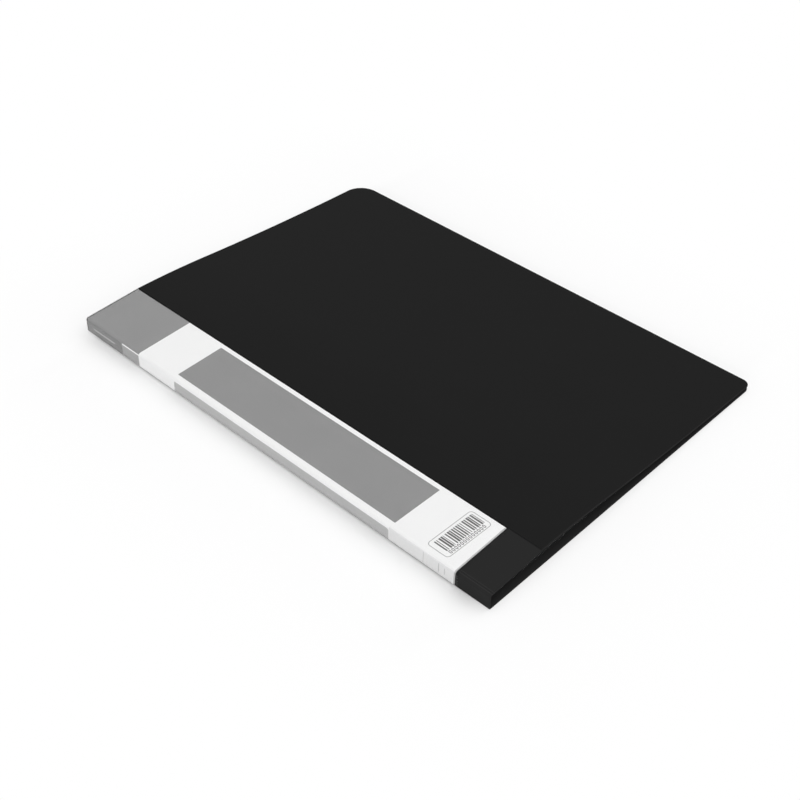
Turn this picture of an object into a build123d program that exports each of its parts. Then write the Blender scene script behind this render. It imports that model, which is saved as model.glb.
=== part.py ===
"""Clear pocket display book: a scored and folded cover, a label in a clear sleeve, ten clear pockets.

The closed book lies on its back cover. X runs from the spine to the fore-edge, Y along the spine
towards the open end of the pockets, and Z up from the table. The origin is on the table, under the
middle of the book. All sizes are in millimetres.
"""

import os
from math import atan, atan2, cos, degrees, hypot, radians, sin, tan

from build123d import *

# Cover: one sheet, scored at the creases
book_length = 310.0
book_width = 231.4  # from the sleeve on the spine to the fore-edge
cover_sheet = 0.8
spine_height = 9.85  # table to the corner where the spine and the hinge strip would meet
strip_width = 38.4  # outside of the spine to the crease of the front cover
crease_height = 11.95  # the sheet springs up to this height at the crease
near_corner_radius = 5.0  # of both covers, at the near end of the fore-edge
far_corner_radius = 13.0
back_bend_radius = 0.9  # outside radius where the back cover turns up into the spine
spine_bend_radius = 1.6  # outside radius where the spine turns over into the hinge strip
score_depth = 0.15  # how far a scored stretch lies below each face of the sheet
crease_width = 0.8  # scored stretch between the hinge strip and the front cover
bow_run = 51.0  # beside the crease the front cover bows down, beyond this it flattens out
fore_slope_share = 0.2  # slope left at the fore-edge, as a share of the steepest

# Label sleeve and the card in it
sleeve_film = 0.12
sleeve_setback = 20.0  # near end of the book to the closed end of the sleeve
sleeve_end_weld = 1.5
sleeve_edge_weld = 0.25
label_card = 0.2
label_play = 0.08  # between the card and the walls of the sleeve
label_edge_play = 0.1
label_mouth_inset = 1.5  # the card stops this far inside the open end

# Pockets
pocket_count = 10
pocket_film = 0.05
pocket_gap = 0.04  # between the two leaves of an empty pocket
leaf_gap = 0.05  # between neighbours in the stack, at the outer edge
pocket_fore_inset = 9.0  # outer edge of the pockets to the fore-edge of the cover
pocket_end_inset = 4.0  # ends of the pockets to the ends of the cover
pocket_root_weld = 3.0
pocket_foot_weld = 3.0
pocket_edge_weld = 2.0

# Binding strip, with one rib for each pocket
binding_sheet = 0.6
binding_margin = 0.1  # flat of the spine left free above and below the strip
binding_end_rib_margin = 0.3  # edge of the strip to the middle of its first and last rib
rib_length = 0.8  # of the last rib, nearest the back cover
rib_step = 0.12  # each rib stands out this much further than the one behind it
root_flex = 0.2  # film left free between a rib and its pocket, where the pocket turns

# Places along the length
near_end = -book_length / 2
far_end = book_length / 2
sleeve_near = near_end + sleeve_setback
label_near = sleeve_near + sleeve_end_weld + label_edge_play
label_far = far_end - label_mouth_inset
pocket_foot = near_end + pocket_end_inset
pocket_mouth = far_end - pocket_end_inset

# Cross-section of the cover, along its outer faces
sleeve_inside = 2 * label_play + label_card  # cover to the inside of the sleeve film
sleeve_build = sleeve_inside + sleeve_film
fore_x = book_width / 2
spine_x = sleeve_build - book_width / 2
crease_x = spine_x + strip_width
strip_angle = degrees(atan2(crease_height - spine_height, strip_width))
strip_slant = strip_width / cos(radians(strip_angle))
spine_turn = 90 - strip_angle
bend_tangent = spine_bend_radius * tan(radians(spine_turn / 2))
spine_top = spine_height - bend_tangent
bend_x = spine_x + spine_bend_radius
bend_z = spine_top

# Stack of pockets at their outer edge
pocket_thickness = 2 * pocket_film + pocket_gap
leaf_pitch = pocket_thickness + leaf_gap
stack_height = pocket_count * leaf_pitch + leaf_gap
stack_top = cover_sheet + stack_height
pocket_tip_x = fore_x - pocket_fore_inset

# The front cover leaves the crease level and comes down over the stack at the fore-edge
fore_height = stack_top + cover_sheet
front_x = crease_x + crease_width / 2
front_run = fore_x - front_x
front_drop = crease_height - fore_height
steepest = 2 * front_drop / (bow_run + (1 + fore_slope_share) * (front_run - bow_run))
bow_turn = degrees(atan(steepest))
bow_radius = bow_run / sin(radians(bow_turn))

# Binding strip and the roots of the pockets
binding_x = spine_x + cover_sheet
binding_low = back_bend_radius + binding_margin
binding_high = spine_top - binding_margin
rib_x = binding_x + binding_sheet
root_high = binding_high - binding_end_rib_margin
root_low = binding_low + binding_end_rib_margin
root_pitch = (root_high - root_low) / (pocket_count - 1)


def face_plane(x, z, angle):
    """Plane with its x along the cross-section at an angle to the table, its y along the book."""
    turn = radians(angle)
    return Plane(origin=(x, 0, z), x_dir=(cos(turn), 0, sin(turn)), z_dir=(-sin(turn), 0, cos(turn)))


def section_plane(y):
    """Plane of the cross-section at y, from which an extrusion runs towards the near end."""
    return Plane.XZ.offset(-y)


def area(u_range, v_range, mode=Mode.ADD):
    """Rectangle between two places across and two along the sketch."""
    with Locations((sum(u_range) / 2, sum(v_range) / 2)):
        Rectangle(u_range[1] - u_range[0], v_range[1] - v_range[0], mode=mode)


def bend_ring(centre, radii, start_angle, turn):
    """Sector of a ring, the cross-section of a bent sheet."""
    with BuildLine() as outline:
        inner = CenterArc(centre, radii[0], start_angle, turn)
        outer = CenterArc(centre, radii[1], start_angle, turn)
        Line(inner @ 0, outer @ 0)
        Line(inner @ 1, outer @ 1)
    make_face(outline.edges())


def save(part, name):
    part.label = name
    export_step(part, f"parts/{name}.step")


os.makedirs("parts", exist_ok=True)

spine_face = face_plane(spine_x, 0, 90)
strip_face = face_plane(crease_x, crease_height, strip_angle)
front_face = face_plane(crease_x, crease_height, 0)
spine_flat = (back_bend_radius, spine_top)
strip_flat = (bend_tangent - strip_slant, -crease_width / 2)
whole_length = (near_end, far_end)
score_low = score_depth
score_high = cover_sheet - score_depth
fore_corners = ((0, near_corner_radius), (-1, far_corner_radius))

# Back cover, flat on the table, with rounded corners at the fore-edge
with BuildPart() as back_cover:
    with BuildSketch() as back_outline:
        area((spine_x + back_bend_radius, fore_x), whole_length)
        for end, radius in fore_corners:
            fore_points = back_outline.vertices().group_by(Axis.X)[-1]
            fillet(fore_points.sort_by(Axis.Y)[end], radius)
    extrude(amount=cover_sheet)
save(back_cover.part, "back_cover")

# Scored quarter turn from the back cover up into the spine
with BuildPart() as back_crease:
    with BuildSketch(section_plane(far_end)):
        bend_ring(
            (spine_x + back_bend_radius, back_bend_radius),
            (back_bend_radius - score_high, back_bend_radius - score_low),
            180,
            90,
        )
    extrude(amount=book_length)
save(back_crease.part, "back_crease")

with BuildPart() as spine:
    with BuildSketch(spine_face):
        area(spine_flat, whole_length)
    extrude(amount=-cover_sheet)
save(spine.part, "spine")

# Scored bend from the spine over into the hinge strip
with BuildPart() as spine_bend:
    with BuildSketch(section_plane(far_end)):
        bend_ring(
            (bend_x, bend_z),
            (spine_bend_radius - score_high, spine_bend_radius - score_low),
            180 - spine_turn,
            spine_turn,
        )
    extrude(amount=book_length)
save(spine_bend.part, "spine_bend")

with BuildPart() as hinge_strip:
    with BuildSketch(strip_face):
        area(strip_flat, whole_length)
    extrude(amount=-cover_sheet)
save(hinge_strip.part, "hinge_strip")

# Scored crease between the hinge strip and the front cover, bent along its middle
crease_bisector = radians(90 + strip_angle / 2)


def crease_point(face, across, depth):
    point = face.from_local_coords(Vector(across, 0, -depth))
    return (point.X, point.Z)


def crease_middle(depth):
    reach = depth / cos(radians(strip_angle / 2))
    return (crease_x - reach * cos(crease_bisector), crease_height - reach * sin(crease_bisector))


with BuildPart() as front_crease:
    with BuildSketch(section_plane(far_end)):
        with BuildLine():
            Polyline(
                crease_point(strip_face, -crease_width / 2, score_low),
                crease_middle(score_low),
                crease_point(front_face, crease_width / 2, score_low),
                crease_point(front_face, crease_width / 2, score_high),
                crease_middle(score_high),
                crease_point(strip_face, -crease_width / 2, score_high),
                close=True,
            )
        make_face()
    extrude(amount=book_length)
save(front_crease.part, "front_crease")

# Front cover: its outer face is two arcs, one bowing down and one flattening out, with rounded corners
with BuildPart() as front_cover:
    with BuildSketch(section_plane(far_end)):
        with BuildLine():
            bow = JernArc((front_x, crease_height), (1, 0), bow_radius, -bow_turn)
            TangentArc(bow @ 1, (fore_x, fore_height), tangent=bow % 1)
            offset(amount=cover_sheet, side=Side.RIGHT)
        make_face()
    extrude(amount=book_length)
    for end, radius in fore_corners:
        fore_face = front_cover.faces().sort_by(Axis.X)[-1]
        fillet(fore_face.edges().sort_by(Axis.Y)[end], radius)
save(front_cover.part, "front_cover")

# Label sleeve: a film held off the cover by a weld along each long edge and at the near end
sleeve_span = (sleeve_near, far_end)
sleeve_end = (sleeve_near, sleeve_near + sleeve_end_weld)
spine_edge = (back_bend_radius, back_bend_radius + sleeve_edge_weld)
strip_edge = (strip_flat[1] - sleeve_edge_weld, strip_flat[1])


def flat_sleeve(face, flat, edge):
    with BuildPart() as sleeve:
        with BuildSketch(face.offset(sleeve_inside)):
            area(flat, sleeve_span)
        extrude(amount=sleeve_film)
        with BuildSketch(face):
            area(flat, sleeve_end)
            area(edge, sleeve_span)
        extrude(amount=sleeve_inside)
    return sleeve.part


save(flat_sleeve(spine_face, spine_flat, spine_edge), "sleeve_spine")
save(flat_sleeve(strip_face, strip_flat, strip_edge), "sleeve_front")

with BuildPart() as sleeve_bend:
    with BuildSketch(section_plane(far_end)):
        bend_ring(
            (bend_x, bend_z),
            (spine_bend_radius + sleeve_inside, spine_bend_radius + sleeve_build),
            180 - spine_turn,
            spine_turn,
        )
    extrude(amount=far_end - sleeve_near)
    with BuildSketch(section_plane(sleeve_near + sleeve_end_weld)):
        bend_ring(
            (bend_x, bend_z),
            (spine_bend_radius, spine_bend_radius + sleeve_inside),
            180 - spine_turn,
            spine_turn,
        )
    extrude(amount=sleeve_end_weld)
save(sleeve_bend.part, "sleeve_bend")

# Label card, folded round the bend and free to slide between the cover and the sleeve
label_span = (label_near, label_far)
label_face_gap = sleeve_edge_weld + label_edge_play

with BuildPart() as label_spine:
    with BuildSketch(spine_face.offset(label_play)):
        area((spine_flat[0] + label_face_gap, spine_flat[1]), label_span)
    extrude(amount=label_card)
save(label_spine.part, "label_spine")

with BuildPart() as label_bend:
    with BuildSketch(section_plane(label_far)):
        bend_ring(
            (bend_x, bend_z),
            (spine_bend_radius + label_play, spine_bend_radius + label_play + label_card),
            180 - spine_turn,
            spine_turn,
        )
    extrude(amount=label_far - label_near)
save(label_bend.part, "label_bend")

with BuildPart() as label_front:
    with BuildSketch(strip_face.offset(label_play)):
        area((strip_flat[0], strip_flat[1] - label_face_gap), label_span)
    extrude(amount=label_card)
save(label_front.part, "label_front")

# Binding strip on the inside of the spine, ribbed where the pockets are welded to it
ribs_behind = range(pocket_count - 1, -1, -1)
rib_tips = [(rib_x + rib_length + rib_step * behind, root_low + root_pitch * behind) for behind in ribs_behind]

with BuildPart() as binding_strip:
    with BuildSketch(section_plane(pocket_mouth)):
        area((binding_x, rib_x), (binding_low, binding_high))
        for tip_x, height in rib_tips:
            area((rib_x, tip_x), (height - pocket_thickness / 2, height + pocket_thickness / 2))
    extrude(amount=pocket_mouth - pocket_foot)
save(binding_strip.part, "binding_strip")

# Pockets, fanned from their ribs to the stack at the outer edge; the first lies under the front cover
pocket_span = (pocket_foot, pocket_mouth)


def pocket_leaf(face, reach):
    with BuildPart() as leaf:
        with BuildSketch(face):
            area((0, reach), pocket_span)
        extrude(amount=pocket_film)
    return leaf.part


def pocket_seam(face, reach):
    """Weld between the leaves, open at the mouth."""
    with BuildPart() as seam:
        with BuildSketch(face):
            area((0, reach), pocket_span)
            area(
                (pocket_root_weld, reach - pocket_edge_weld),
                (pocket_foot + pocket_foot_weld, pocket_mouth),
                Mode.SUBTRACT,
            )
        extrude(amount=pocket_gap)
    return seam.part


for number, (rib_tip_x, root_z) in enumerate(rib_tips, start=1):
    run = pocket_tip_x - rib_tip_x - root_flex
    drop = stack_top + pocket_thickness / 2 - number * leaf_pitch - root_z
    reach = hypot(run, drop)
    middle = face_plane(rib_tip_x + root_flex, root_z, degrees(atan2(drop, run)))
    save(pocket_leaf(middle.offset(pocket_gap / 2), reach), f"pocket_{number:02d}_front_film")
    save(pocket_leaf(middle.offset(-pocket_gap / 2 - pocket_film), reach), f"pocket_{number:02d}_back_film")
    save(pocket_seam(middle.offset(-pocket_gap / 2), reach), f"pocket_{number:02d}_weld")

# Hinge lines, parallel to Y
bend_bisector = radians(180 - spine_turn / 2)
bend_middle_radius = spine_bend_radius - cover_sheet / 2
back_hinge = (cover_sheet - book_width / 2, cover_sheet)
spine_hinge = (bend_x + bend_middle_radius * cos(bend_bisector), bend_z + bend_middle_radius * sin(bend_bisector))
front_hinge = crease_middle(cover_sheet / 2)
print("Hinge lines, X and Z: back", back_hinge, "spine", spine_hinge, "front", front_hinge)
print("Pocket hinge lines, X and Z:", [(tip_x + root_flex / 2, height) for tip_x, height in rib_tips])
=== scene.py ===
"""Looks of a clear pocket display book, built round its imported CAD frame.

The frame is in metres: X from the spine to the fore-edge, Y along the spine towards the open end of
the pockets, Z up from the table. Sizes below are in millimetres, with the same names as in the part.
"""

from math import atan, atan2, cos, hypot, pi, radians, sin, tan

import bmesh
import bpy
from mathutils import Matrix, Vector


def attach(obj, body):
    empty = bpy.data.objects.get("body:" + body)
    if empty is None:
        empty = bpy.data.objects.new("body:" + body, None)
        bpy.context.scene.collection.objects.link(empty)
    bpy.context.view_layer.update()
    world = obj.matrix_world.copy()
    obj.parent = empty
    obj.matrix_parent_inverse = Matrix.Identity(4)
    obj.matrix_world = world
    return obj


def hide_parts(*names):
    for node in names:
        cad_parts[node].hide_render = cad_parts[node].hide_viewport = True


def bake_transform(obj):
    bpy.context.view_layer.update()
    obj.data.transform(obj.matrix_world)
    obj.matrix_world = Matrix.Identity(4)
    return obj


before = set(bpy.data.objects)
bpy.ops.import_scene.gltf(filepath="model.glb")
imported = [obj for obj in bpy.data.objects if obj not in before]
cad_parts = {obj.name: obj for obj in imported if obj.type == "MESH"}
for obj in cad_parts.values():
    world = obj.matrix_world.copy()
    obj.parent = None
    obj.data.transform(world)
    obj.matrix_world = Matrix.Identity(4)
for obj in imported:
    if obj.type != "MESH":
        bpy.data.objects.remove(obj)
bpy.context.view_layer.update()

MM = 0.001
scene = bpy.context.scene

# Cover
book_length = 310.0
book_width = 231.4
cover_sheet = 0.8
spine_height = 9.85
strip_width = 38.4
crease_height = 11.95
near_corner_radius = 5.0
far_corner_radius = 13.0
back_bend_radius = 0.9
spine_bend_radius = 1.6
crease_width = 0.8
bow_run = 51.0
fore_slope_share = 0.2
edge_round = 0.2  # rounding of the cut edges of the sheet
edge_support = 0.7  # last loop of the flat face beside a rounded edge
corner_lead = 1.0  # last straight row of points before a rounded corner

# Label sleeve and the card in it
sleeve_film = 0.12
sleeve_setback = 20.0
sleeve_end_weld = 1.5
sleeve_edge_weld = 0.25
label_card = 0.2
label_play = 0.08
label_edge_play = 0.1
label_mouth_inset = 1.5
weld_lift = 0.14  # outside of the film above the cover where it is welded down

# Pockets and the ribs that carry them
pocket_count = 10
pocket_film = 0.05
pocket_gap = 0.04
leaf_gap = 0.05
pocket_fore_inset = 9.0
pocket_end_inset = 4.0
pocket_root_weld = 3.0
pocket_foot_weld = 3.0
pocket_edge_weld = 2.0
binding_sheet = 0.6
binding_margin = 0.1
binding_end_rib_margin = 0.3
rib_length = 0.8
rib_step = 0.12
root_flex = 0.2

# Cross-section, worked out as in the part
half_length = book_length / 2
sleeve_inside = 2 * label_play + label_card
sleeve_build = sleeve_inside + sleeve_film
fore_x = book_width / 2
spine_x = sleeve_build - fore_x
back_length = fore_x - spine_x - back_bend_radius
back_bend_run = back_bend_radius * pi / 2
crease_x = spine_x + strip_width
strip_angle = atan2(crease_height - spine_height, strip_width)
spine_turn = pi / 2 - strip_angle
bend_tangent = spine_bend_radius * tan(spine_turn / 2)
spine_top = spine_height - bend_tangent
bend_x = spine_x + spine_bend_radius
spine_run = spine_top - back_bend_radius
bend_run = spine_bend_radius * spine_turn
strip_run = strip_width / cos(strip_angle) - bend_tangent - crease_width / 2
wrap_run = spine_run + bend_run + strip_run
pocket_thickness = 2 * pocket_film + pocket_gap
leaf_pitch = pocket_thickness + leaf_gap
stack_top = cover_sheet + pocket_count * leaf_pitch + leaf_gap
pocket_tip_x = fore_x - pocket_fore_inset
fore_height = stack_top + cover_sheet
front_x = crease_x + crease_width / 2
front_run = fore_x - front_x
front_drop = crease_height - fore_height
steepest = 2 * front_drop / (bow_run + (1 + fore_slope_share) * (front_run - bow_run))
bow_turn = atan(steepest)
bow_radius = bow_run / sin(bow_turn)
bow_drop = bow_radius * (1 - cos(bow_turn))
rest_run = front_run - bow_run
rest_drop = front_drop - bow_drop
rest_turn = 2 * (bow_turn - atan2(rest_drop, rest_run))
rest_radius = hypot(rest_run, rest_drop) / (2 * sin(rest_turn / 2))
bow_length = bow_radius * bow_turn
front_length = bow_length + rest_radius * rest_turn


# Outer face of the cover: each gives x, z and the outward normal at a distance along the cross-section
def back_place(s):
    return spine_x + back_bend_radius + s, 0.0, 0.0, -1.0


def back_bend_place(s):
    turn = s / back_bend_radius
    nx, nz = -sin(turn), -cos(turn)
    centre_x = spine_x + back_bend_radius
    return centre_x + back_bend_radius * nx, back_bend_radius * (1 + nz), nx, nz


def spine_place(s):
    return spine_x, back_bend_radius + s, -1.0, 0.0


def spine_bend_place(s):
    turn = s / spine_bend_radius
    nx, nz = -cos(turn), sin(turn)
    return bend_x + spine_bend_radius * nx, spine_top + spine_bend_radius * nz, nx, nz


def strip_place(s):
    x, z, nx, nz = spine_bend_place(bend_run)
    return x + s * cos(strip_angle), z + s * sin(strip_angle), nx, nz


def crease_place(s):
    slope = strip_angle if s < 0 else 0.0
    share = min(1.0, max(0.0, 0.5 + s / crease_width))
    lean = strip_angle * (1 - share)
    return crease_x + s * cos(slope), crease_height + s * sin(slope), -sin(lean), cos(lean)


def front_place(s):
    if s <= bow_length:
        slope = s / bow_radius
        x = front_x + bow_radius * sin(slope)
        z = crease_height - bow_radius * (1 - cos(slope))
        return x, z, sin(slope), cos(slope)
    slope = bow_turn - (s - bow_length) / rest_radius
    x = front_x + bow_run + rest_radius * (sin(bow_turn) - sin(slope))
    z = crease_height - bow_drop - rest_radius * (cos(slope) - cos(bow_turn))
    return x, z, sin(slope), cos(slope)


def wrap_place(s):
    """Up the spine, round the bend and over the hinge strip, as the sleeve and the label lie."""
    if s < spine_run:
        return spine_place(s)
    if s < spine_run + bend_run:
        return spine_bend_place(s - spine_run)
    return strip_place(s - spine_run - bend_run)


def at_face(place, y, lift):
    x, z, nx, nz = place
    return x + nx * lift, y, z + nz * lift


def steps(start, end, count):
    return [start + (end - start) * k / count for k in range(count + 1)]


def ease(value, start, end):
    share = min(1.0, max(0.0, (value - start) / (end - start)))
    return share * share * (3 - 2 * share)


# Meshes
def piece(name, points, faces, material):
    """A closed mesh from points in millimetres, with its faces outwards and its flat edges sharp."""
    mesh = bpy.data.meshes.new(name)
    mesh.from_pydata([(x * MM, y * MM, z * MM) for x, y, z in points], [], faces)
    work = bmesh.new()
    work.from_mesh(mesh)
    bmesh.ops.recalc_face_normals(work, faces=work.faces)
    work.to_mesh(mesh)
    work.free()
    mesh.shade_smooth()
    mesh.set_sharp_from_angle(angle=radians(30))
    mesh.materials.append(material)
    made = bpy.data.objects.new(name, mesh)
    scene.collection.objects.link(made)
    return made


def edge_loops(thickness):
    """Inset and depth of the loops round a rounded sheet edge, from the outer face to the inner one."""
    turns = steps(0, pi / 2, 4)
    outer = [(edge_support, 0.0)]
    outer += [(edge_round * (1 - sin(t)), edge_round * (1 - cos(t))) for t in turns]
    return outer + [(inset, thickness - depth) for inset, depth in reversed(outer)]


def cover_sheet_piece(name, place, stations, material, corners=None, score=None, painted_light=None):
    """A stretch of the cover along its cross-section.

    corners gives the radius of its near and far corner at the last station, score how far the outer
    and the inner face are pressed in at a station, and the last argument how pale its outer face is
    painted there; both that and the paler inner face are painted light.
    """
    loops = edge_loops(cover_sheet)
    end = stations[-1]
    rows = [(s, None) for s in stations]
    if corners:
        rows = rows[:-1] + [(None, t) for t in steps(0, pi / 2, 16)]
    points, faces, cuts, pales = [], [], [], []
    for s, turn in rows:
        for side in (0, 1):
            for inset, depth in loops:
                cuts.append(0.0 if inset > edge_round else 1.0)
                if depth < cover_sheet / 2:
                    pales.append(painted_light(s) if painted_light else 0.0)
                else:
                    pales.append(inside_painted_lightness)
                if turn is None:
                    run, y = s, half_length - inset
                else:
                    radius = corners[side]
                    run = end - radius + (radius - inset) * sin(turn)
                    y = half_length - radius + (radius - inset) * cos(turn)
                outer, inner = score(run) if score else (0.0, 0.0)
                pressed = outer + depth * (cover_sheet - outer - inner) / cover_sheet
                points.append(at_face(place(run), y if side else -y, -pressed))
    count = len(loops)
    row_size = 2 * count
    last = len(rows) - 1
    for row in range(last):
        a, b = row * row_size, (row + 1) * row_size
        for offset in (0, count):
            for k in range(offset, offset + count - 1):
                faces.append((a + k, a + k + 1, b + k + 1, b + k))
        for k in (0, count - 1):
            faces.append((a + k, b + k, b + k + count, a + k + count))
    for row in (0, last):
        a = row * row_size
        for k in range(count - 1):
            faces.append((a + k, a + k + 1, a + k + 1 + count, a + k + count))
    made = piece(name, points, faces, material)
    for attribute, values in (("cut_edge", cuts), ("painted_light_share", pales)):
        made.data.attributes.new(attribute, "FLOAT", "POINT").data.foreach_set("value", values)
    return made


def film_points(stations, lines, place, lift):
    return [at_face(place(s), y, lift(s, y)) for s in stations for y in lines]


def film_faces(across, along, start=0):
    """Faces of a thin closed sheet: an outer grid of points, then an inner one."""
    under = start + across * along
    faces = []
    for i in range(across - 1):
        for j in range(along - 1):
            a = i * along + j
            quad = (a, a + 1, a + along + 1, a + along)
            faces.append(tuple(start + k for k in quad))
            faces.append(tuple(under + k for k in reversed(quad)))
    rim = list(range(along))
    rim += [i * along + along - 1 for i in range(1, across)]
    rim += [(across - 1) * along + j for j in range(along - 2, -1, -1)]
    rim += [i * along for i in range(across - 2, 0, -1)]
    for a, b in zip(rim, rim[1:] + rim[:1]):
        faces.append((start + a, under + a, under + b, start + b))
    return faces


# Nodes
def add_node(tree, kind, **settings):
    made = tree.nodes.new(kind)
    for key, value in settings.items():
        setattr(made, key, value)
    return made


def feed(tree, target, value):
    """Links a socket to an input, or sets a plain value on it."""
    if isinstance(value, bpy.types.NodeSocket):
        tree.links.new(value, target)
    else:
        target.default_value = value


def calc(tree, operation, *values):
    made = add_node(tree, "ShaderNodeMath", operation=operation)
    for target, value in zip(made.inputs, values):
        feed(tree, target, value)
    return made.outputs[0]


def noise(tree, place, scale, detail=2.0, roughness=0.5):
    made = add_node(tree, "ShaderNodeTexNoise")
    feed(tree, made.inputs["Vector"], place)
    made.inputs["Scale"].default_value = scale
    made.inputs["Detail"].default_value = detail
    made.inputs["Roughness"].default_value = roughness
    return made.outputs["Fac"]


def spread(tree, value, low, high):
    """Maps a noise from its usual range to low and high."""
    made = add_node(tree, "ShaderNodeMapRange")
    feed(tree, made.inputs["Value"], value)
    made.inputs["From Min"].default_value = 0.25
    made.inputs["From Max"].default_value = 0.75
    made.inputs["To Min"].default_value = low
    made.inputs["To Max"].default_value = high
    return made.outputs["Result"]


def blend_colour(tree, share, low, high):
    made = add_node(tree, "ShaderNodeMix", data_type="RGBA")
    feed(tree, made.inputs["Factor"], share)
    for target, value in ((made.inputs["A"], low), (made.inputs["B"], high)):
        feed(tree, target, value)
    return made.outputs["Result"]


def bump(tree, height, distance, strength=1.0):
    made = add_node(tree, "ShaderNodeBump")
    feed(tree, made.inputs["Height"], height)
    made.inputs["Distance"].default_value = distance
    made.inputs["Strength"].default_value = strength
    return made.outputs["Normal"]


def new_material(name):
    made = bpy.data.materials.new(name)
    made.use_nodes = True
    tree = made.node_tree
    return made, tree, tree.nodes["Principled BSDF"], add_node(tree, "ShaderNodeTexCoord").outputs["Object"]


def grey(value):
    return value, value, value, 1.0


# Finishes, with the scales of their patterns per metre
rub_scale = 22
fine_grain_scale = 1900
coarse_grain_scale = 640
ripple_scale = 14
fine_share, coarse_share = 0.7, 0.3
grain_strength = 0.6
rough_swing = 0.04  # roughness changes this much either way
painted_light_and_cut_black = 0.033  # tone of the painted light on the spine, strip, fold lines and inner face, and of a cut edge
cut_pale = 0.35  # share of that tone on a cut edge, partly the grey of cut plastic and partly painted light
cut_rough = 0.4  # added to the roughness of a cut edge
gloss_power = 5.0  # how late the gloss of a film comes up towards its edge
film_metal = 0.8  # a film mirrors its surroundings more than it scatters light


def black_plastic(name, dark, light, rough, grain, shine):
    """Black polypropylene sheet with a fine sand grain, faint rub marks, duller and paler cut edges, and
    painted light where the sheet is made paler.
    """
    made, tree, shader, place = new_material(name)
    cloud = noise(tree, place, rub_scale, 3)
    fine = noise(tree, place, fine_grain_scale, 2, 0.6)
    coarse = noise(tree, place, coarse_grain_scale, 2)
    plain = blend_colour(tree, cloud, grey(dark), grey(light))
    # painted light: how much paler the spine, strip, fold lines and inner face are painted
    painted_light = add_node(tree, "ShaderNodeAttribute", attribute_name="painted_light_share").outputs["Fac"]
    cut = add_node(tree, "ShaderNodeAttribute", attribute_name="cut_edge").outputs["Fac"]
    pale = calc(tree, "MAXIMUM", painted_light, calc(tree, "MULTIPLY", cut, cut_pale))
    feed(tree, shader.inputs["Base Color"], blend_colour(tree, pale, plain, grey(painted_light_and_cut_black)))
    mixed = calc(tree, "MULTIPLY_ADD", fine, fine_share, calc(tree, "MULTIPLY", coarse, coarse_share))
    face_rough = spread(tree, cloud, rough - rough_swing, rough + rough_swing)
    feed(tree, shader.inputs["Roughness"], calc(tree, "MULTIPLY_ADD", cut, cut_rough, face_rough))
    feed(tree, shader.inputs["Normal"], bump(tree, mixed, grain * MM, grain_strength))
    shader.inputs["Specular IOR Level"].default_value = shine
    return made


def clear_film(name, tint, haze, gloss, rough, ripple, weld_haze=0.0):
    """Clear polypropylene film: see-through face on, with a gloss that grows towards its edge.

    weld_haze adds to its haze, or takes from it, by the share in the weld_share attribute.
    """
    made, tree, shader, place = new_material(name)
    shader.inputs["Base Color"].default_value = grey(tint)
    swell = noise(tree, place, ripple_scale, 1)
    feed(tree, shader.inputs["Roughness"], spread(tree, swell, rough * 0.8, rough * 1.2))
    feed(tree, shader.inputs["Normal"], bump(tree, swell, ripple * MM))
    facing = add_node(tree, "ShaderNodeLayerWeight")
    facing.inputs["Blend"].default_value = 0.5
    edge = calc(tree, "POWER", facing.outputs["Facing"], gloss_power)
    share = calc(tree, "MULTIPLY_ADD", edge, gloss, haze)
    shader.inputs["Metallic"].default_value = film_metal
    if weld_haze:
        weld = add_node(tree, "ShaderNodeAttribute", attribute_name="weld_share").outputs["Fac"]
        share = calc(tree, "MULTIPLY_ADD", weld, weld_haze, share)
        feed(tree, shader.inputs["Metallic"], calc(tree, "MULTIPLY_ADD", weld, -film_metal, film_metal))
    lit = calc(tree, "SUBTRACT", 1.0, add_node(tree, "ShaderNodeLightPath").outputs["Is Shadow Ray"])
    share = calc(tree, "MULTIPLY", share, lit)
    through = add_node(tree, "ShaderNodeBsdfTransparent")
    mix = add_node(tree, "ShaderNodeMixShader")
    feed(tree, mix.inputs["Fac"], share)
    tree.links.new(through.outputs[0], mix.inputs[1])
    tree.links.new(shader.outputs[0], mix.inputs[2])
    tree.links.new(mix.outputs[0], tree.nodes["Material Output"].inputs["Surface"])
    return made


cover_black = black_plastic("cover_black", 0.0122, 0.0136, 0.4, 0.008, 0.01)
binding_black = black_plastic("binding_black", 0.013, 0.016, 0.4, 0.01, 0.05)
sleeve_clear = clear_film("sleeve_clear", 0.9, 0.006, 0.4, 0.14, 0.05, 0.1)
pocket_clear = clear_film("pocket_clear", 0.45, 0.012, 0.4, 0.14, 0.12)
weld_clear = clear_film("weld_clear", 0.4, 0.06, 0.4, 0.35, 0.02)

# Label print, in millimetres: up the spine from the table, round the bend and over the strip, and
# along the book from its near end
label_bend_radius = spine_bend_radius + label_play + label_card
print_bend_end = spine_top + label_bend_radius * spine_turn
print_bend_end_x = bend_x + label_bend_radius * -cos(spine_turn) + fore_x


def strip_print(x):
    """Place of a print line on the strip, from its distance to the outside of the spine."""
    return print_bend_end + (x - print_bend_end_x) / cos(strip_angle)


# Tones of the paper and the inks
paper_white = 0.79
panel_grey = 0.224
block_grey = 0.227
wrap_grey = 0.172
stripe_grey = 0.402
patch_grey = 0.318
line_grey = 0.32
bar_black = 0.085
near_tint = 0.86  # the spine of the label is a little darker at its near end
rule_tint = 0.62
end_painted_shade = 0.55  # painted shade: the very end of the label lies in the shade of the weld
paper_grain = 0.012
ink_mottle = 0.03
fibre_scale, mottle_scale = 0.9, 0.045  # per millimetre
fibre_height, fibre_strength = 0.01, 0.5
paper_rough = (0.5, 0.6)

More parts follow.
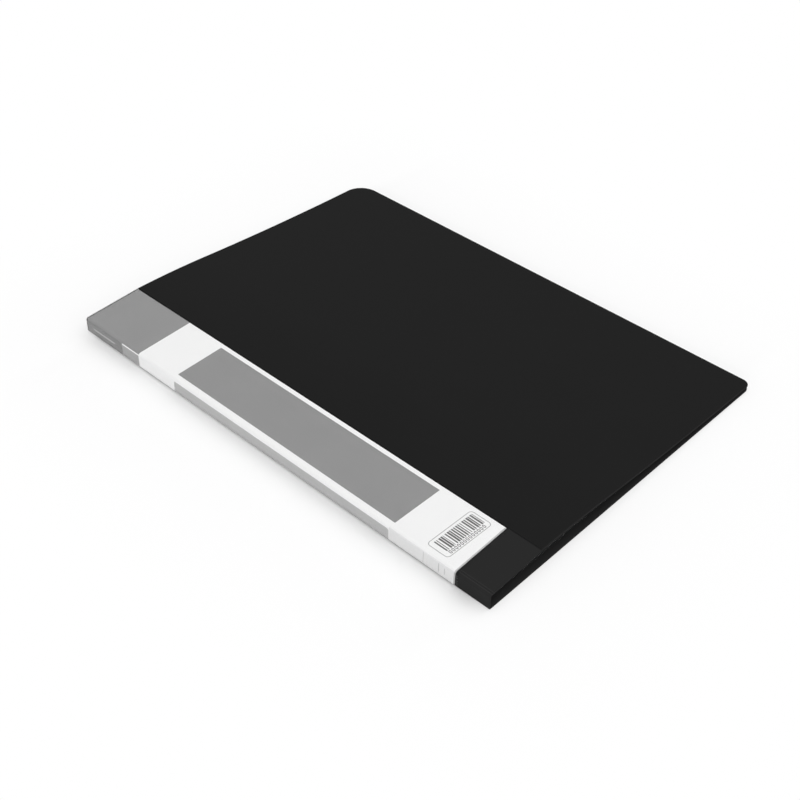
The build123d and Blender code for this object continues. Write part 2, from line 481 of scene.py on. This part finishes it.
# Places of the print, as low and high ends across the label and along it
label_foot = back_bend_radius
near_tint_across, near_tint_along = (label_foot, 9.6), (20, 65)
panel_across, panel_along = (strip_print(4.0), strip_print(35.4)), (64.5, 230.3)
block_across, block_along = (9.4, strip_print(40)), (260.9, 312)
wrap_across, wrap_along = (label_foot, 9.4), (276, 312)
patch_across, patch_along = (label_foot, 8.7), (260.9, 276)
stripe_across, stripe_along, stripe_radius = (-6, 8.1), (65.2, 229.6), 1.2
pale_rule_across, pale_rule_along = (4.8, 5.9), (283, 303)
frame_across, frame_along, frame_radius = (strip_print(4.5), strip_print(35.3)), (30.2, 43.8), 2.0
frame_half_line = 0.2
bar_across, bar_along = (strip_print(7.4), strip_print(34.0)), (33.6, 42.1)
bar_cell = 1.45
bar_thinnest, bar_swing = 0.25, 0.55  # thickness of a bar, as shares of its cell
mark_count, mark_pitch = 13, 1.95
mark_across, mark_along, mark_radius = (0.4, 1.4), (31.1, 33.0), 0.5
mark_half_line = 0.19
mark_row_along = (30.8, 33.3)
spine_rules = ((1.8, 9.0, 42.0, 0.3), (2.6, 8.4, 32.0, 0.5), (3.4, 7.6, 28.2, 0.4))  # ends, place and width
label_start = sleeve_setback + sleeve_end_weld + label_edge_play
end_along = (label_start - 0.1, label_start + 0.8)
print_slant = 0.06  # the print runs a little askew over the strip, most at the near end
print_slant_run = 290.0


def label_paper():
    made, tree, shader, _ = new_material("label_paper")
    spot = add_node(tree, "ShaderNodeAttribute", attribute_name="print_place").outputs["Vector"]
    parts = add_node(tree, "ShaderNodeSeparateXYZ")
    tree.links.new(spot, parts.inputs[0])
    across, straight = parts.outputs[0], parts.outputs[1]
    over_strip = calc(tree, "MAXIMUM", calc(tree, "SUBTRACT", across, print_bend_end), 0.0)
    slant = calc(tree, "MULTIPLY_ADD", straight, -print_slant / print_slant_run, print_slant)
    along = calc(tree, "MULTIPLY_ADD", slant, over_strip, straight)

    def between(value, ends):
        low, high = ends
        return calc(tree, "COMPARE", value, (low + high) / 2, (high - low) / 2)

    def box(ends_across, ends_along):
        first = between(across, ends_across)
        return calc(tree, "MULTIPLY", first, between(along, ends_along))

    def round_box(first, first_ends, second, second_ends, radius):
        """Distance to the outline of a box with rounded corners, less than zero inside it."""
        sides = []
        for value, (low, high) in ((first, first_ends), (second, second_ends)):
            off = calc(tree, "ABSOLUTE", calc(tree, "SUBTRACT", value, (low + high) / 2))
            sides.append(calc(tree, "SUBTRACT", off, (high - low) / 2 - radius))
        outside = [calc(tree, "POWER", calc(tree, "MAXIMUM", side, 0.0), 2.0) for side in sides]
        reach = calc(tree, "SQRT", calc(tree, "ADD", *outside))
        inside = calc(tree, "MINIMUM", calc(tree, "MAXIMUM", *sides), 0.0)
        return calc(tree, "SUBTRACT", calc(tree, "ADD", reach, inside), radius)

    fibre = noise(tree, spot, fibre_scale, 4, 0.7)
    cloud = noise(tree, spot, mottle_scale, 3)
    tone = spread(tree, fibre, paper_white - paper_grain, paper_white + paper_grain)
    mottle = spread(tree, cloud, 1 - ink_mottle, 1 + ink_mottle)

    def print_on(base, mask, ink):
        return calc(tree, "MULTIPLY_ADD", mask, calc(tree, "SUBTRACT", ink, base), base)

    def inked(value):
        return calc(tree, "MULTIPLY", mottle, value)

    tone = print_on(tone, box(near_tint_across, near_tint_along), calc(tree, "MULTIPLY", tone, near_tint))
    tone = print_on(tone, box(panel_across, panel_along), inked(panel_grey))
    tone = print_on(tone, box(block_across, block_along), inked(block_grey))
    tone = print_on(tone, box(wrap_across, wrap_along), inked(wrap_grey))
    tone = print_on(tone, box(patch_across, patch_along), inked(patch_grey))
    stripe_edge = round_box(across, stripe_across, along, stripe_along, stripe_radius)
    tone = print_on(tone, calc(tree, "LESS_THAN", stripe_edge, 0.0), inked(stripe_grey))

    tone = print_on(tone, box(pale_rule_across, pale_rule_along), inked(stripe_grey))
    frame_line = round_box(across, frame_across, along, frame_along, frame_radius)
    tone = print_on(tone, calc(tree, "COMPARE", frame_line, 0.0, frame_half_line), line_grey)
    from_first_bar = calc(tree, "SUBTRACT", across, bar_across[0])
    bar_place = calc(tree, "DIVIDE", from_first_bar, bar_cell)
    bar_draw = add_node(tree, "ShaderNodeTexWhiteNoise", noise_dimensions="1D")
    feed(tree, bar_draw.inputs["W"], calc(tree, "FLOOR", bar_place))
    bar_share = calc(tree, "MULTIPLY_ADD", bar_draw.outputs["Value"], bar_swing, bar_thinnest)
    bars = calc(tree, "LESS_THAN", calc(tree, "FRACT", bar_place), bar_share)
    bars = calc(tree, "MULTIPLY", bars, box(bar_across, bar_along))
    tone = print_on(tone, bars, bar_black)
    mark_place = calc(tree, "DIVIDE", from_first_bar, mark_pitch)
    mark_spot = calc(tree, "MULTIPLY", calc(tree, "FRACT", mark_place), mark_pitch)
    ring = round_box(mark_spot, mark_across, along, mark_along, mark_radius)
    marks = calc(tree, "COMPARE", ring, 0.0, mark_half_line)
    mark_row_across = (bar_across[0], bar_across[0] + mark_count * mark_pitch)
    marks = calc(tree, "MULTIPLY", marks, box(mark_row_across, mark_row_along))
    tone = print_on(tone, marks, bar_black)
    for low, high, place_along, width in spine_rules:
        rule = box((low, high), (place_along - width / 2, place_along + width / 2))
        tone = print_on(tone, rule, calc(tree, "MULTIPLY", tone, rule_tint))
    # painted shade over the near end of the label
    tone = print_on(tone, between(straight, end_along), calc(tree, "MULTIPLY", tone, end_painted_shade))

    colour = add_node(tree, "ShaderNodeCombineColor")
    for target in colour.inputs:
        feed(tree, target, tone)
    tree.links.new(colour.outputs[0], shader.inputs["Base Color"])
    feed(tree, shader.inputs["Roughness"], spread(tree, fibre, *paper_rough))
    feed(tree, shader.inputs["Normal"], bump(tree, fibre, fibre_height * MM, fibre_strength))
    return made


label_white = label_paper()

# Cover, from the back cover round the spine to the front cover
score_line = 0.6  # middle of the pressed line on the strip, from the bend
score_half_width = 0.4
score_groove = 0.14
score_depth = 0.15  # how far a fold is thinned from the inside
crease_groove = 0.2
back_groove = 0.1
highlight_offset = 0.7  # painted highlights: pale lines on both sides of the pressed line
highlight_half_width = 0.3
strip_painted_lightness = 0.38  # painted light: the spine and the strip are painted paler than the front, as they face the light differently
spine_painted_lightness = 0.45
inside_painted_lightness = 0.58  # painted light: the inner face is painted duller and greyer, lifting the shade inside the book


def bend_score(s):
    """The bend is thinned on its inside."""
    return 0.0, score_depth * (1 - (2 * s / bend_run - 1) ** 8)


# painted light: the strip painted paler, with painted highlights on both sides of the pressed line
def strip_painted_light(s):
    off = abs(abs(s - score_line) - highlight_offset)
    return max(strip_painted_lightness, 1 - (off / highlight_half_width) ** 2)


def bend_painted_light(s):
    return max(strip_painted_light(s - bend_run), spine_painted_lightness)


def spine_painted_light(s):
    return spine_painted_lightness


def strip_score(s):
    """A pressed line beside the bend."""
    return score_groove * max(0.0, 1 - ((s - score_line) / score_half_width) ** 2), 0.0


def crease_score(s):
    dip = 1 - (2 * s / crease_width) ** 2
    return crease_groove * dip, score_depth * dip


def back_score(s):
    dip = 1 - (2 * s / back_bend_run - 1) ** 6
    return back_groove * dip, back_groove * dip


cover_back = cover_sheet_piece(
    "cover_back", back_place, steps(0, back_length - far_corner_radius - corner_lead, 4) + [back_length],
    cover_black, (near_corner_radius, far_corner_radius))
cover_back_bend = cover_sheet_piece(
    "cover_back_bend", back_bend_place, steps(0, back_bend_run, 10), cover_black, score=back_score)
cover_spine = cover_sheet_piece(
    "cover_spine", spine_place, steps(0, spine_run, 2), cover_black, painted_light=spine_painted_light)
cover_spine_bend = cover_sheet_piece(
    "cover_spine_bend", spine_bend_place, steps(0, bend_run, 40), cover_black,
    score=bend_score, painted_light=bend_painted_light)
score_end = score_line + highlight_offset + highlight_half_width
cover_strip = cover_sheet_piece(
    "cover_strip", strip_place, steps(0, score_end, 32) + steps(score_end, strip_run, 4)[1:], cover_black,
    score=strip_score, painted_light=strip_painted_light)
cover_crease = cover_sheet_piece(
    "cover_crease", crease_place, steps(-crease_width / 2, crease_width / 2, 12), cover_black,
    score=crease_score)
cover_front = cover_sheet_piece(
    "cover_front", front_place, steps(0, front_length - far_corner_radius - corner_lead, 72) + [front_length],
    cover_black, (near_corner_radius, far_corner_radius))


def row_point(place, lift=0.0):
    x, y, z = at_face(place, 0.0, lift)
    return x * MM, y * MM, z * MM


bend_start = row_point(spine_bend_place(0))
bend_end = row_point(spine_bend_place(bend_run))
for made, body, node in (
    (cover_back, "back", "back_cover"),
    (cover_spine, "spine", "spine"),
    (cover_strip, "strip", "hinge_strip"),
    (cover_front, "front", "front_cover"),
):
    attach(made, body)
    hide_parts(node)
for made, first, second, start, end, node in (
    (cover_back_bend, "back", "spine", row_point(back_bend_place(0)),
     row_point(back_bend_place(back_bend_run)), "back_crease"),
    (cover_spine_bend, "spine", "strip", bend_start, bend_end, "spine_bend"),
    (cover_crease, "strip", "front", row_point(crease_place(-crease_width / 2)),
     row_point(crease_place(crease_width / 2)), "front_crease"),
):
    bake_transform(made)
    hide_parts(node)

# Clear sleeve, welded down along its long edges and at its near end, open at the far end
sleeve_near = sleeve_setback - half_length
weld_ramp = 0.2


def sleeve_lift(s, y):
    edge = min(s, wrap_run - s)
    edge_rise = ease(edge, sleeve_edge_weld - weld_ramp / 2, sleeve_edge_weld + weld_ramp / 2)
    end_rise = ease(y - sleeve_near, sleeve_end_weld - weld_ramp, sleeve_end_weld + weld_ramp / 4)
    return weld_lift + (sleeve_build - weld_lift) * edge_rise * end_rise


# Rows of points, close together at the ramps of the welds and far apart between them
edge_ramp = steps(sleeve_edge_weld - weld_ramp / 2, sleeve_edge_weld + weld_ramp / 2, 4)
edge_steps = [0.0, 0.1] + edge_ramp + [0.6]
wrap_stations = edge_steps + [spine_run / 2]
wrap_stations += [spine_run + s for s in steps(0, bend_run, 16)]
wrap_stations += [spine_run + bend_run + s for s in steps(0, strip_run, 6)[1:-1]]
wrap_stations += [wrap_run - s for s in reversed(edge_steps)]
sleeve_lines = [sleeve_near, sleeve_near + 0.3]
end_ramp = steps(sleeve_end_weld - weld_ramp, sleeve_end_weld + weld_ramp / 4, 4)
sleeve_lines += [sleeve_near + s for s in end_ramp]
mouth_start = half_length - label_mouth_inset
sleeve_lines += [sleeve_near + sleeve_end_weld + 1.0] + steps(sleeve_near + 20, mouth_start, 8)
sleeve_lines += [mouth_start + 0.1, half_length]
sleeve_points = film_points(wrap_stations, sleeve_lines, wrap_place, sleeve_lift)
sleeve_points += film_points(
    wrap_stations, sleeve_lines, wrap_place, lambda s, y: sleeve_lift(s, y) - sleeve_film)
label_sleeve = piece(
    "label_sleeve", sleeve_points, film_faces(len(wrap_stations), len(sleeve_lines)), sleeve_clear)
haze_loss = 0.06  # a weld has no air under it, and loses the film's haze


def lip_highlight_and_weld(s, y):
    """1 on the loose lip beyond the label, where its haze is a painted highlight, and less than zero on the
    welds.
    """
    if y > mouth_start:
        return 1.0
    return -haze_loss * (1 - (sleeve_lift(s, y) - weld_lift) / (sleeve_build - weld_lift))


weld_share = label_sleeve.data.attributes.new("weld_share", "FLOAT", "POINT")
weld_shares = [lip_highlight_and_weld(s, y) for s in wrap_stations for y in sleeve_lines]
weld_share.data.foreach_set("value", weld_shares * 2)
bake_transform(label_sleeve)
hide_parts("sleeve_spine", "sleeve_bend", "sleeve_front")

# Label card, folded once, with its print laid out flat
label_inset = sleeve_edge_weld + label_edge_play
label_near = sleeve_near + sleeve_end_weld + label_edge_play
label_far = half_length - label_mouth_inset
label_stations = [label_inset, spine_run / 2]
label_stations += [spine_run + s for s in steps(0, bend_run, 16)]
label_stations += [spine_run + bend_run + s for s in steps(0, strip_run, 4)[1:-1]] + [wrap_run - label_inset]
label_lines = steps(label_near, label_far, 4)
label_points = film_points(label_stations, label_lines, wrap_place, lambda s, y: label_play + label_card)
label_points += film_points(label_stations, label_lines, wrap_place, lambda s, y: label_play)
label_sheet = piece(
    "label_sheet", label_points, film_faces(len(label_stations), len(label_lines)), label_white)


def print_across(s):
    if s < spine_run:
        return back_bend_radius + s
    if s < spine_run + bend_run:
        return spine_top + (s - spine_run) / bend_run * (print_bend_end - spine_top)
    return print_bend_end + s - spine_run - bend_run


print_place = label_sheet.data.attributes.new("print_place", "FLOAT_VECTOR", "POINT")
print_spots = [(print_across(s), y + half_length, 0.0) for s in label_stations for y in label_lines]
unprinted = -100.0  # the inside of the card lies this far off the print
print_spots += [(unprinted - across, along, 0.0) for across, along, _ in print_spots]
print_place.data.foreach_set("vector", [value for spot in print_spots for value in spot])
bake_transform(label_sheet)
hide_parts("label_spine", "label_bend", "label_front")


# Row of raised bars across the root weld of a pocket
def seam_bars_tree():
    tree = bpy.data.node_groups.new("seam_bars", "GeometryNodeTree")
    sockets = {}
    for name, kind in (("Seam length", "NodeSocketFloat"), ("Bar pitch", "NodeSocketFloat"),
                       ("Bar size", "NodeSocketVector"), ("Material", "NodeSocketMaterial")):
        sockets[name] = tree.interface.new_socket(name, in_out="INPUT", socket_type=kind).identifier
    tree.interface.new_socket("Geometry", in_out="OUTPUT", socket_type="NodeSocketGeometry")
    given = add_node(tree, "NodeGroupInput").outputs
    count = add_node(tree, "ShaderNodeMath", operation="DIVIDE")
    tree.links.new(given["Seam length"], count.inputs[0])
    tree.links.new(given["Bar pitch"], count.inputs[1])
    whole = add_node(tree, "FunctionNodeFloatToInt", rounding_mode="FLOOR")
    tree.links.new(count.outputs[0], whole.inputs[0])
    step = add_node(tree, "ShaderNodeCombineXYZ")
    tree.links.new(given["Bar pitch"], step.inputs["Y"])
    row = add_node(tree, "GeometryNodeMeshLine", mode="OFFSET")
    tree.links.new(whole.outputs[0], row.inputs["Count"])
    tree.links.new(step.outputs[0], row.inputs["Offset"])
    bar = add_node(tree, "GeometryNodeMeshCube")
    tree.links.new(given["Bar size"], bar.inputs["Size"])
    placed = add_node(tree, "GeometryNodeInstanceOnPoints")
    tree.links.new(row.outputs["Mesh"], placed.inputs["Points"])
    tree.links.new(bar.outputs["Mesh"], placed.inputs["Instance"])
    real = add_node(tree, "GeometryNodeRealizeInstances")
    tree.links.new(placed.outputs[0], real.inputs[0])
    painted = add_node(tree, "GeometryNodeSetMaterial")
    tree.links.new(real.outputs[0], painted.inputs["Geometry"])
    tree.links.new(given["Material"], painted.inputs["Material"])
    tree.links.new(painted.outputs[0], add_node(tree, "NodeGroupOutput").inputs[0])
    return tree, sockets


seam_tree, seam_sockets = seam_bars_tree()


def seam_bars(name, length, pitch, size, material):
    """A row of bars along Y from the origin, as a plain mesh."""
    holder = bpy.data.objects.new(name + "_holder", bpy.data.meshes.new(name + "_holder"))
    scene.collection.objects.link(holder)
    maker = holder.modifiers.new("seam_bars", "NODES")
    maker.node_group = seam_tree
    maker[seam_sockets["Seam length"]] = length
    maker[seam_sockets["Bar pitch"]] = pitch
    maker[seam_sockets["Bar size"]] = size
    maker[seam_sockets["Material"]] = material
    evaluated = holder.evaluated_get(bpy.context.evaluated_depsgraph_get())
    mesh = bpy.data.meshes.new_from_object(evaluated)
    holder.modifiers.remove(maker)
    bpy.data.objects.remove(holder)
    return mesh


# Pockets, fanned from the ribs of the binding strip to the stack at the outer edge
rib_x = spine_x + cover_sheet + binding_sheet
root_low = back_bend_radius + binding_margin + binding_end_rib_margin
root_high = spine_top - binding_margin - binding_end_rib_margin
root_pitch = (root_high - root_low) / (pocket_count - 1)
pocket_foot = pocket_end_inset - half_length
pocket_mouth = half_length - pocket_end_inset
bar_pitch = 1.5
bar_margin = 1.5  # foot of a pocket to its first bar
bar_row_spare = 2.0  # length of a root weld that has no bars
bar_length = 2.0
bar_width = 0.6
bar_height = 0.03

for number in range(1, pocket_count + 1):
    behind = pocket_count - number
    tip_x = rib_x + rib_length + rib_step * behind
    root_x, root_z = tip_x + root_flex, root_low + root_pitch * behind
    run = pocket_tip_x - root_x
    drop = stack_top + pocket_thickness / 2 - number * leaf_pitch - root_z
    reach = hypot(run, drop)
    along_x, along_z = run / reach, drop / reach

    def leaf_place(s):
        if s < 0:
            return root_x + s, root_z, 0.0, 1.0
        return root_x + s * along_x, root_z + s * along_z, -along_z, along_x

    body = f"pocket_{number:02d}"
    stations = steps(-root_flex, 0, 4) + steps(0, reach, 8)[1:]
    lines = steps(pocket_foot, pocket_mouth, 8)
    points, faces = [], []
    for outer in (pocket_gap / 2 + pocket_film, -pocket_gap / 2):
        faces += film_faces(len(stations), len(lines), len(points))
        points += film_points(stations, lines, leaf_place, lambda s, y: outer)
        points += film_points(stations, lines, leaf_place, lambda s, y: outer - pocket_film)
    film = piece(f"{body}_film", points, faces, pocket_clear)
    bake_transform(film)
    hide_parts(f"{body}_front_film", f"{body}_back_film")

    points, faces = [], []
    foot_end = pocket_foot + pocket_foot_weld
    for weld_stations, weld_lines in (
        ([0, pocket_root_weld], [pocket_foot, pocket_mouth]),
        ([pocket_root_weld, reach - pocket_edge_weld], [pocket_foot, foot_end]),
        ([reach - pocket_edge_weld, reach], [pocket_foot, pocket_mouth]),
    ):
        faces += film_faces(2, 2, len(points))
        points += film_points(weld_stations, weld_lines, leaf_place, lambda s, y: pocket_gap / 2)
        points += film_points(weld_stations, weld_lines, leaf_place, lambda s, y: -pocket_gap / 2)
    weld = piece(f"{body}_seam", points, faces, weld_clear)
    bars = seam_bars(f"{body}_bars", (pocket_mouth - pocket_foot - bar_row_spare) * MM, bar_pitch * MM,
                     (bar_length * MM, bar_width * MM, bar_height * MM), weld_clear)
    x, y, z = at_face(leaf_place(pocket_root_weld / 2), pocket_foot + bar_margin, pocket_thickness / 2)
    turn = Matrix(((along_x, 0, -along_z), (0, 1, 0), (along_z, 0, along_x))).to_4x4()
    bars.transform(Matrix.Translation((x * MM, y * MM, z * MM)) @ turn)
    work = bmesh.new()
    work.from_mesh(weld.data)
    work.from_mesh(bars)
    work.to_mesh(weld.data)
    work.free()
    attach(weld, body)
    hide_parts(f"{body}_weld")

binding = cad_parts["binding_strip"]
binding.data.materials.clear()
binding.data.materials.append(binding_black)


# Floor, light and camera, in metres
floor_reach = 6.0
floor_drop = 0.00005  # the floor lies this far under the book
floor_white = 0.88
side_glow = 0.18  # share of plain white in the floor beside the book
end_glow = 0.55  # the same before its two ends
end_glow_run = 0.015  # one passes into the other over this length
glow_reach = 0.11  # beyond this the floor is plain white


def seen_ray(tree):
    """1 for the rays that show the background, in the picture or in a reflection."""
    path = add_node(tree, "ShaderNodeLightPath").outputs
    seen = calc(tree, "MAXIMUM", path["Is Camera Ray"], path["Is Glossy Ray"])
    return calc(tree, "MAXIMUM", seen, path["Is Transmission Ray"])


def pale_floor():
    made, tree, shader, place = new_material("pale_floor")
    shader.inputs["Base Color"].default_value = grey(floor_white)
    shader.inputs["Roughness"].default_value = 0.9
    shader.inputs["Specular IOR Level"].default_value = 0.0
    glow = add_node(tree, "ShaderNodeEmission")
    glow.inputs["Strength"].default_value = 1.0
    mix = add_node(tree, "ShaderNodeMixShader")
    away = place
    for operation, value in (("ABSOLUTE", None), ("SUBTRACT", (fore_x * MM, half_length * MM, 0)),
                             ("MAXIMUM", (0, 0, 0)), ("LENGTH", None)):
        step = add_node(tree, "ShaderNodeVectorMath", operation=operation)
        feed(tree, step.inputs[0], away)
        if value:
            step.inputs[1].default_value = value
        away = step.outputs["Value" if operation == "LENGTH" else "Vector"]
    parts = add_node(tree, "ShaderNodeSeparateXYZ")
    feed(tree, parts.inputs[0], place)
    ends = add_node(tree, "ShaderNodeMapRange", interpolation_type="SMOOTHSTEP")
    feed(tree, ends.inputs["Value"], calc(tree, "ABSOLUTE", parts.outputs["Y"]))
    fade = add_node(tree, "ShaderNodeMapRange", interpolation_type="SMOOTHSTEP")
    feed(tree, fade.inputs["Value"], away)
    feed(tree, fade.inputs["To Min"], ends.outputs["Result"])
    end_y = half_length * MM
    end_values = (end_y - end_glow_run, end_y, side_glow, end_glow)
    for span, values in ((ends, end_values), (fade, (0.0, glow_reach))):
        for socket, value in zip(("From Min", "From Max", "To Min", "To Max"), values):
            span.inputs[socket].default_value = value
    feed(tree, mix.inputs["Fac"], calc(tree, "MULTIPLY", seen_ray(tree), fade.outputs["Result"]))
    tree.links.new(shader.outputs[0], mix.inputs[1])
    tree.links.new(glow.outputs[0], mix.inputs[2])
    tree.links.new(mix.outputs[0], tree.nodes["Material Output"].inputs["Surface"])
    return made


floor_mesh = bpy.data.meshes.new("floor")
corners = [(-floor_reach, -floor_reach), (floor_reach, -floor_reach), (floor_reach, floor_reach),
           (-floor_reach, floor_reach)]
floor_mesh.from_pydata([(x, y, -floor_drop) for x, y in corners], [], [(0, 1, 2, 3)])
floor_mesh.materials.append(pale_floor())
floor = bpy.data.objects.new("floor", floor_mesh)
scene.collection.objects.link(floor)

world = bpy.data.worlds.new("studio")
scene.world = world
world.use_nodes = True
sky = world.node_tree
sky_lean = Vector((0.12, -0.42, 1.0))  # the bright side of the surroundings
shades = ((0.0, 0.5), (0.12, 0.28), (0.25, 0.14), (0.53, 0.2), (0.61, 1.33), (1.0, 1.3))  # height and tone
direction = add_node(sky, "ShaderNodeTexCoord").outputs["Generated"]
height = add_node(sky, "ShaderNodeVectorMath", operation="DOT_PRODUCT")
sky.links.new(direction, height.inputs[0])
height.inputs[1].default_value = sky_lean.normalized()
ramp = add_node(sky, "ShaderNodeValToRGB")
sky.links.new(height.outputs["Value"], ramp.inputs[0])
while len(ramp.color_ramp.elements) < len(shades):
    ramp.color_ramp.elements.new(0.5)
for element, (position, value) in zip(ramp.color_ramp.elements, shades):
    element.position = position
    element.color = grey(value)
shown = blend_colour(sky, seen_ray(sky), ramp.outputs[0], grey(1.0))
sky.links.new(shown, sky.nodes["Background"].inputs["Color"])
sky.nodes["Background"].inputs["Strength"].default_value = 1.0


def softbox(name, place, width, height, power):
    data = bpy.data.lights.new(name, "AREA")
    data.shape = "RECTANGLE"
    data.size = width
    data.size_y = height
    data.energy = power
    lamp = bpy.data.objects.new(name, data)
    lamp.location = place
    lamp.rotation_euler = (-Vector(place)).to_track_quat("-Z", "Y").to_euler()
    scene.collection.objects.link(lamp)


softbox("key_softbox", (1.5, -0.4, 1.7), 1.5, 1.5, 11.8)
softbox("fill_softbox", (-1.4, -0.15, 0.32), 2.2, 0.6, 7.8)

# Camera, fitted to the edges of the cover
camera_data = bpy.data.cameras.new("camera")
camera_data.sensor_width = 36.0
camera_data.lens = 59.0935
camera_data.clip_start = 0.01
camera_data.clip_end = 50.0
camera = bpy.data.objects.new("camera", camera_data)
eye = Vector((-0.44989, -0.39712, 0.47133))
right = Vector((0.68293641, -0.73017935, 0.02088009))
down = Vector((-0.45800863, -0.45029289, -0.76646226))
forward = Vector((0.56905707, 0.51388173, -0.64194986))
camera.matrix_world = Matrix.Translation(eye) @ Matrix((right, -down, -forward)).transposed().to_4x4()
scene.collection.objects.link(camera)
scene.camera = camera

scene.view_settings.view_transform = "Standard"
scene.cycles.transparent_max_bounces = 64
